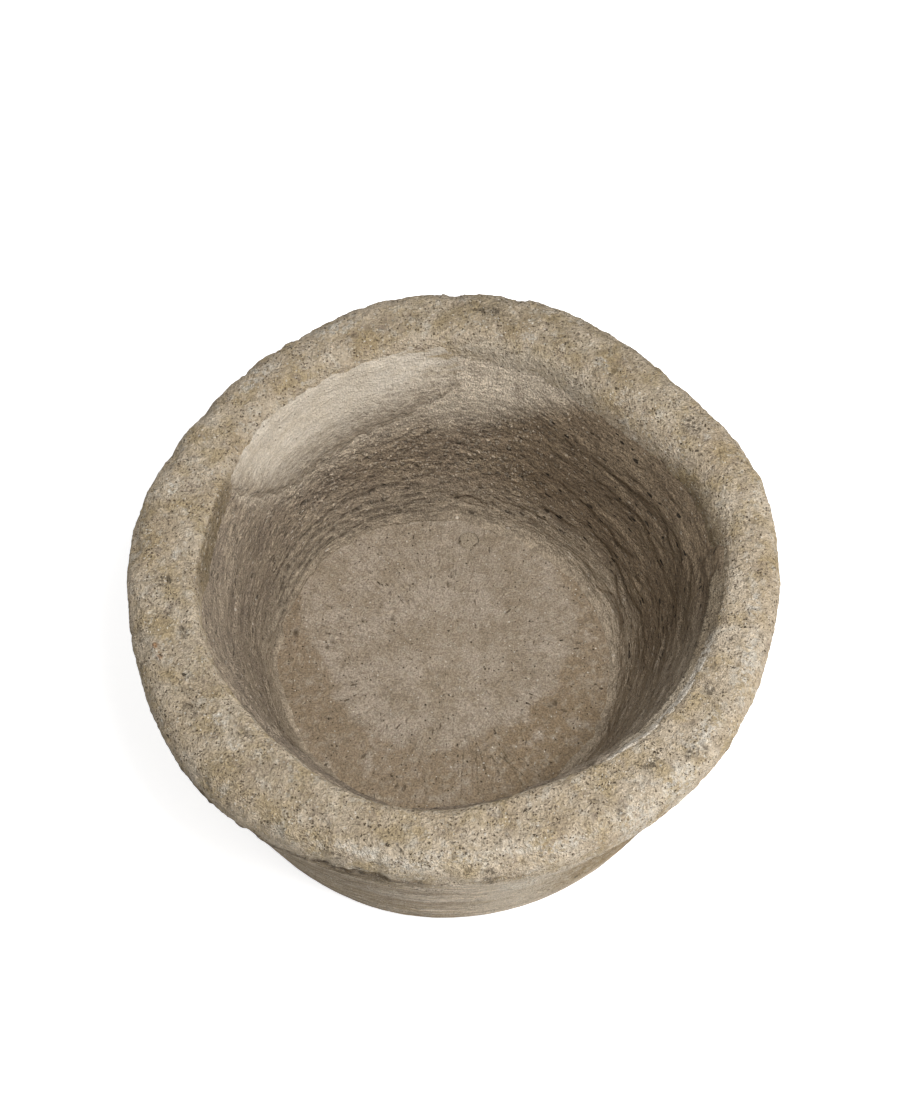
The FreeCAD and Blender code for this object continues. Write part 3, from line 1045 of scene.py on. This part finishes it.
dashes = flecks(tree, short_fan, 5, 4, 0.3, 0.28, dashed)
nicks = flecks(tree, crossed, 6, 14, 0.45, 0.2, patchy(tree, place, 34, 0.42, 0.58, seed=15))
pins = flecks(tree, dotted, 5, 6, 0.35, 0.26)
lines = scored(tree, shaken(tree, place, 14, 3), scratches, 0.9)
layers = [
    # Damp ring, deepened at the front right by painted shadow.
    (16, 0.3, 0.5, 0.75, "damp", 7, "#99856b"),
    (9, 0.52, 0.66, 0.45, 1.0, 8, "#c0b4a1"),
    (13, 0.52, 0.66, 0.5, 1.0, 9, "#93836d"),
    (hairs, 1, "#7d6f5d"),
    (dashes, 0.85, "#54483a"),
    (nicks, 0.75, "#54483a"),
    (pins, 0.85, "#463c30"),
    ("spots", 0.75, "#5b4f40"),
    (12, 0.36, 0.56, 0.5, lines, 13, "#62563f"),
    (flecks(tree, dotted, 5, 11, 0.45, 0.22), 1, "#dcd3c3"),
]
coat(screed, place, 0.95, (50, 0.4, 0.6, 6, "#aa9a85", "#bcad9b"), (1, 0.76, 1.22, 0.8), layers,
     [(crumbs, 0.86, 1.12)], [(crumbs, 0.9), (hairs, -0.6), (dashes, -1.0), (pins, -1.4), (lines, -0.5)])

# %% [markdown]
# ## The trowelled floor
# The floor is a disc of rings whose points thin out towards the middle. Its edge shows two low ridges on the
# left and two grooves on the right, where the trowel was dragged round.

# %% Rings of the floor
# Where the damp ring begins, by bearing in degrees and distance in mm; at the front right it reaches further
# in, as painted shadow.
damp_edge = ((0, 128), (25, 146), (60, 180), (100, 210), (150, 195), (170, 160), (180, 138), (204, 128),
             (225, 122), (251, 106), (280, 98), (310, 92), (336, 104), (360, 128))
floor_spots = ((169, 177, 6, 4), (173, 139, 4, 3), (170, 134, 3, 3), (-24, 122, 5, 4), (-27, 118, 3, 3),
               (130, 109, 3, 2), (142, 84, 4, 2))


def floor_ring(angles, radius, z, exposed=0.0):
    """One ring of the floor with its weights and its drawn lines."""
    points = ring(angles, radius, z)
    far = np.hypot(points[:, 0], points[:, 1])
    from_edge = wall_reach(angles, floor_height) - far
    damp_from = edge_at(damp_edge, angles) + mm(9) * wander(angles, mm(50), 5.0)
    # Painted shadow: the ring is painted 30 percent stronger at the front right, under the rim.
    damp = between(far, damp_from - mm(6), damp_from + mm(8)) * (1 + 0.3 * span(angles, -70, -10, 40))
    ridged = span(angles, 150, 235, 30) - span(angles, -50, 45, 24)
    spots = marks(points, floor_spots)
    lines = -spots
    for inset in (21, 29):
        off = np.abs(from_edge - mm(inset) - mm(2.5) * wander(angles, mm(80), inset))
        lines = lines + (1 - between(off, 0, mm(3.2))) * ridged
    return points, lean(90) | {"exposed": exposed, "damp": damp, "spots": spots, "lines": lines}


edge_points = 600
floor_rows = 97
edge_angles = around(edge_points)
rows = [floor_ring(pole, 0, bed_height)]
for count, distance in ((75, 100), (150, 150), (300, 170)):
    rows.append(floor_ring(around(count), mm(distance), bed_height))
rows.append(floor_ring(edge_angles, wall_reach(edge_angles, bed_height + mm(1)) - mm(0.5), bed_height))
rows.append(floor_ring(edge_angles, wall_reach(edge_angles, floor_height) - mm(0.5), floor_height - mm(2)))
for share in np.linspace(0.992, 0.01, floor_rows):
    halvings = sum(share <= limit for limit in (0.5, 0.25, 0.12))
    angles = around(edge_points // 2 ** halvings)
    rows.append(floor_ring(angles, share * wall_reach(angles, floor_height), floor_height, 1))
rows.append(floor_ring(pole, 0, floor_height, 1))
floor = skin("trowelled_floor", rows)
print("rings of the floor:", len(rows))

# %% Relief of the floor
floor_sizes = {
    "Swell Size": mm(85), "Swell": mm(1.6),
    "Ripple Size": mm(16), "Ripple": mm(0.6),
    "Pin Spacing": mm(10), "Pin": mm(1.4),
    "Line": mm(1.4),
    "Seed": 2.0,
}
tree, size, place = relief_tree("trowelled_floor_relief", floor_sizes)
seed = size["Seed"]
pins = dents(tree, place, size["Pin Spacing"], seed, 0.7, 0.26)
height = stacked(tree, [(rolling(tree, place, size["Swell Size"], seed, 2.0), size["Swell"]),
                        (rolling(tree, place, size["Ripple Size"], seed, 3.0), size["Ripple"]),
                        (pins, held(tree, size["Pin"], -1.0)), ("lines", size["Line"])])
close(tree, raised(tree, size["Geometry"], height, {}), screed)
shaped(floor, tree, floor_sizes)
cut(floor, round_cutter(plug_radius + mm(0.5), bed_height - mm(10), floor_height + mm(20)))
settle(floor, "floor_screed")

# %% [markdown]
# ## Skim coat
# A pale fine mortar was smoothed over the upper wall at the back left. The eye sees an even pale face with
# faint float marks, a lower part that is darker towards the bottom and white lime along its top edge. It
# laps up onto the worn arris of the rim and feathers out into the rough wall, so its edges are where it dips
# under the bumps of the stone and of the lining. Sections carried along the wall let the thickness change in
# both directions.

# %% Skim material
skim_mortar, tree, place = matt_material("smooth_skim")
floated = squeezed(tree, place, 0.2)
sweeps = patchy(tree, floated, 5, 0.3, 0.7, seed=2)
stains = patchy(tree, floated, 7, 0.52, 0.66, 0.7, "stained", 5)
pins = flecks(tree, shaken(tree, place, 3, 2), 5, 3, 0.45, 0.22)
lit_crumb_tops, crumb_shade = loose_crumbs(tree, place, patchy(tree, place, 36, 0.36, 0.5, 1.0, "faded", 11))
uneven = add(tree, "Math", {0: "faded", 1: 0.15}, operation="MAXIMUM")
# Painted highlights on the lumps of the skim and painted shade under them, strongest where it fades.
lumps = painted_emboss(tree, squeezed(tree, place, 0.8), 8, uneven)
layers = [
    (22, 0.54, 0.7, 0.5, 1.0, 4, "#b5a68f"),
    (12, 0.15, 0.5, 0.95, "faded", 7, "#9d8f7c"),
    (stains, 1, "#97835f"),
    (pins, 0.7, "#6e6252"),
    # Painted shade under each loose crumb and a painted highlight on its top.
    (crumb_shade, 0.6, "#5c5042"),
    (lit_crumb_tops, 0.5, "#c4b8a6"),
    (4, 0.42, 0.54, 0.9, "lime", 6, "#e6dfd3"),
]
coat(skim_mortar, place, 0.93, (35, 0.36, 0.64, 5, "#cabdaa", "#d5caba"), (1, 0.86, 1.12, 0.9), layers,
     [(sweeps, 0.92, 1.07), (lumps, 0.6, 1.34)], [(sweeps, 0.8), (pins, -0.9), (lit_crumb_tops, 1.8)])

# %% Sections of the skim
skim_sections = 176
skim_rows = 64
back_rows = 6
skim_depth = mm(3.4)
sunk = mm(2)
sections = []
for degrees in np.linspace(75.5, 157.6, skim_sections):
    turn = np.full(skim_rows, math.radians(degrees))
    here = turn[:1]
    low = skim_low_at(here)[0] - mm(18)
    top = rim_height - 0.25 * inner_round(here)[0] + mm(4) * wander(here, mm(22), 31.0)[0]
    z = np.linspace(top, low, skim_rows)
    laid_on = np.minimum(stone_reach(turn, z), lining_face(turn, z))
    held_on = between(degrees, 76, 110) * (1 - between(degrees, 155.8, 157.4))
    within = held_on * between(z, low, low + mm(40)) * between(top - z, 0, mm(24))
    belly = mm(2) * between(z, low, low + mm(45)) * (1 - between(z, low + mm(45), top))
    face = laid_on - (skim_depth + belly + sunk) * within + sunk
    back_z = np.linspace(low, top, back_rows)
    back = stone_reach(turn[:back_rows], back_z) + mm(4)
    points = np.vstack([ring(turn, face, z), ring(turn[:back_rows], back, back_z)])
    shown = np.repeat([1.0, 0.0], [skim_rows, back_rows])
    heights = np.concatenate([z, back_z])
    stained = (1 - between(degrees, 96, 112)) * between(heights, top - mm(50), top - mm(25))
    limed = between(heights, top - mm(11), top - mm(3)) * between(degrees, 114, 128)
    right_end = 0.4 * (1 - between(degrees, 78, 108))
    faded = np.maximum(1 - between(heights, low + mm(16), low + mm(95)), right_end)
    sections.append((points, lean(170) | {"exposed": shown, "stained": stained * shown, "lime": limed * shown,
                                          "faded": faded, "crumbly": faded * shown}))
skim = capped("skim_coat", sections)
print("sections of the skim:", len(sections))

# %% Relief of the skim
skim_sizes = {
    "Swell Size": mm(60), "Swell": mm(1.2),
    "Float Length": mm(70), "Float Width": mm(12), "Float": mm(0.8),
    "Crumb Spacing": mm(11), "Crumb Patch": mm(34), "Crumb": mm(3.0), "Crumbs": 16000.0,
    "Seed": 5.0,
}
tree, size, place = relief_tree("skim_relief", skim_sizes)
seed = size["Seed"]
height = stacked(tree, [(rolling(tree, place, size["Swell Size"], seed, 2.0), size["Swell"]),
                        (rolling(tree, place, drawn_out(tree, size, "Float"), seed, 3.0), size["Float"]),
                        (crumbled(tree, place, size), size["Crumb"])])
close(tree, strewn(tree, raised(tree, size["Geometry"], height, {}), size), skim_mortar)
shaped(skim, tree, skim_sizes)
settle(skim, "skim_patch")

# %% [markdown]
# ## Pointing and plug
# Under the inner arris at the right, mortar was struck off at a slant to fill the joint between stone and
# lining. It stands a little proud of the wall like a narrow shelf, it shrank and cracked across into three
# lengths, and the eye sees a gritty grey-brown face with white lime bled out along its top edge. The same
# mortar stops the old drain hole.

# %% Pointing material
pointing, tree, place = matt_material("struck_pointing")
pores = flecks(tree, shaken(tree, place, 4, 4), 4, 2, 0.2, 0.44)
layers = [
    (14, 0.5, 0.66, 0.5, 1.0, 3, "#96876f"),
    (14, 0.1, 0.5, 0.8, "shaded", 5, "#786a56"),
    ("levelled", 0.9, "#ad9e89"),
    (pores, 0.8, "#554a3c"),
    (7, 0.36, 0.5, 0.75, "lime", 4, "#dbd3c6"),
]
coat(pointing, place, 0.93, (20, 0.36, 0.64, 3, "#a59885", "#b6a995"), (1, 0.7, 1.28, 0.8), layers, [],
     [(pores, -1.2)])

# %% Lengths of pointing
pointing_sizes = {"Lump Size": mm(16), "Lump": mm(2.8), "Grain Size": mm(5), "Grain": mm(2.0), "Seed": 9.0}
tree, size, place = relief_tree("pointing_relief", pointing_sizes)
height = stacked(tree, [(rolling(tree, place, size[layer + " Size"], size["Seed"], 3.0), size[layer])
                        for layer in ("Lump", "Grain")])
close(tree, raised(tree, size["Geometry"], height, {}), pointing)
face_rows = 10
length_sections = 56


def pointing_length(node):
    """One length of pointing, between the bearings of its solid."""
    turns = [math.atan2(vertex.co.y, vertex.co.x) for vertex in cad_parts[node].data.vertices]
    low = pointing_low - mm(5)
    share = np.linspace(0, 1, face_rows)
    sections = []
    for angle in np.linspace(min(turns), max(turns), length_sections):
        degrees = math.degrees(angle)
        turn = np.full(face_rows, angle)
        here = turn[:1]
        ending = np.maximum(1 - between(degrees, -57, -48), between(degrees, -5, 4))
        shelf = (mm(3.5) + mm(2.5) * between(degrees, -32, -8)) * (1 - ending)
        top = rim_height - 0.3 * inner_round(here)[0]
        wall_here = lining_face(here, np.array([low]))[0] + mm(3) * ending
        outer = stone_reach(here, np.array([top]))[0] - mm(0.6)
        inner = wall_here - shelf
        face = ring(turn, inner + (outer - inner) * share ** 0.9, low + (top - low) * share ** 1.2)
        under = ring(turn[:2], wall_here + np.array([mm(2), -0.6 * shelf]), low - np.array([mm(24), mm(8)]))
        back_z = np.array([top - mm(1), top - mm(6), low])
        back = ring(turn[:3], stone_reach(turn[:3], back_z) + mm(3.5), back_z)
        limed = between(share, 0.45, 0.6) * (1 - between(degrees, -24, -14))
        sections.append((np.vstack([under, face, back]), lean(135) | {
            "exposed": np.array([0, 0.5] + [1.0] * face_rows + [0, 0, 0]),
            "lime": np.concatenate([[0, 0], limed, [0, 0, 0]]),
            "shaded": between(degrees, -32, -20), "levelled": 0.0}))
    return capped(node.replace("lip_pointing", "pointing_length"), sections)


for node in ("lip_pointing_1", "lip_pointing_2", "lip_pointing_3"):
    length = pointing_length(node)
    shaped(length, tree, pointing_sizes)
    settle(length, node)

# %% Drain plug
plug_bottom = mm(np.array([0, 0, 1])) + plug_low.z
plug_face = mm(np.array([-2, -0.8, -0.2, 0.1, 0.3, 0.4, 0.4])) + floor_height
rows = []
for share, z in zip((0, 0.9, 0.98, 0.98, 0.96, 0.9, 0.75, 0.5, 0.25, 0), (*plug_bottom, *plug_face)):
    points = ring(around(64) if share else pole, share * plug_radius, z) + plug_place
    on_top = float(z > floor_height - mm(1))
    rows.append((points, lean(90) | {"exposed": 0.4 * on_top, "lime": 0.0, "shaded": 0.0, "levelled": 1.0}))
plug = skin("drain_stopper", rows)
shaped(plug, tree, pointing_sizes)
settle(plug, "drain_plug")

# %% [markdown]
# ## Studio
# White paper, a soft box high to the right of the camera, a low fill lamp further round and an even white
# surround light the trough softly. The high lamp only grazes the upright side of the trough, so the low one
# lights it. The paper and the surround are white for the camera, and the paper keeps the trough's shadow.

# %% Paper and surround
paper_material = bpy.data.materials.new("studio_paper")
tree = fresh_tree(paper_material)
path = add(tree, "LightPath")
paper = add(tree, "BsdfDiffuse", {"Color": paint("#f2f2f2")})
glow = add(tree, "Emission", {"Strength": 0.7})
unlit = add(tree, "Emission", {"Strength": 0.0})
seen = add(tree, "MixShader", {0: path.outputs["Is Camera Ray"], 1: unlit, 2: glow})
both = add(tree, "AddShader", {0: paper, 1: seen})
add(tree, "OutputMaterial", {"Surface": both})

reach_out = 6.0
mesh = bpy.data.meshes.new("studio_floor")
corners = [(x * reach_out, y * reach_out, 0) for x, y in ((-1, -1), (1, -1), (1, 1), (-1, 1))]
mesh.from_pydata(corners, [], [(0, 1, 2, 3)])
mesh.materials.append(paper_material)
studio_floor = bpy.data.objects.new("studio_floor", mesh)
bpy.context.scene.collection.objects.link(studio_floor)

world = bpy.data.worlds.new("studio")
bpy.context.scene.world = world
tree = fresh_tree(world)
path = add(tree, "LightPath")
fill, white = [add(tree, "Background", {"Color": paint("#ffffff"), "Strength": strength})
               for strength in (0.36, 1.0)]
shown = path.outputs["Is Camera Ray"]
for other in ("Is Glossy Ray", "Is Transmission Ray"):
    shown = add(tree, "Math", {0: shown, 1: path.outputs[other]}, operation="MAXIMUM")
sky = add(tree, "MixShader", {0: shown, 1: fill, 2: white})
add(tree, "OutputWorld", {"Surface": sky})
print("studio:", studio_floor.name, world.name)

# %% Lamps and camera
def soft_lamp(name, size, watts, bearing, tilt, distance):
    """Square soft lamp that faces the trough from a bearing and a height in degrees."""
    lamp = bpy.data.lights.new(name, "AREA")
    lamp.shape = "SQUARE"
    lamp.size = size
    lamp.energy = watts
    soft = bpy.data.objects.new(name, lamp)
    aim = Vector((0, 0, 0.2))
    level_part = polar(bearing, 1000 * distance * math.cos(math.radians(tilt)))
    soft.location = aim + level_part + Vector((0, 0, distance * math.sin(math.radians(tilt))))
    soft.rotation_euler = (aim - soft.location).to_track_quat("-Z", "Y").to_euler()
    bpy.context.scene.collection.objects.link(soft)


soft_lamp("soft_box", 0.7, 52.0, -45, 68, 2.6)
soft_lamp("low_fill", 1.6, 28.0, -32, 15, 2.3)

image_height = 1108
focal_pixels = 1830
lens = bpy.data.cameras.new("camera")
lens.sensor_width = 36.0
lens.lens = focal_pixels / image_height * lens.sensor_width
camera = bpy.data.objects.new("camera", lens)
camera_tilt = math.radians(62)
camera_distance = 1.8
camera_aim = Vector((-0.0026, 0.0043, rim_height))
camera.location = camera_aim + camera_distance * Vector((0, -math.cos(camera_tilt), math.sin(camera_tilt)))
camera.rotation_euler = (math.pi / 2 - camera_tilt, 0, 0)
bpy.context.scene.collection.objects.link(camera)
bpy.context.scene.camera = camera
bpy.context.scene.view_settings.view_transform = "Standard"
print("camera at", camera.location)
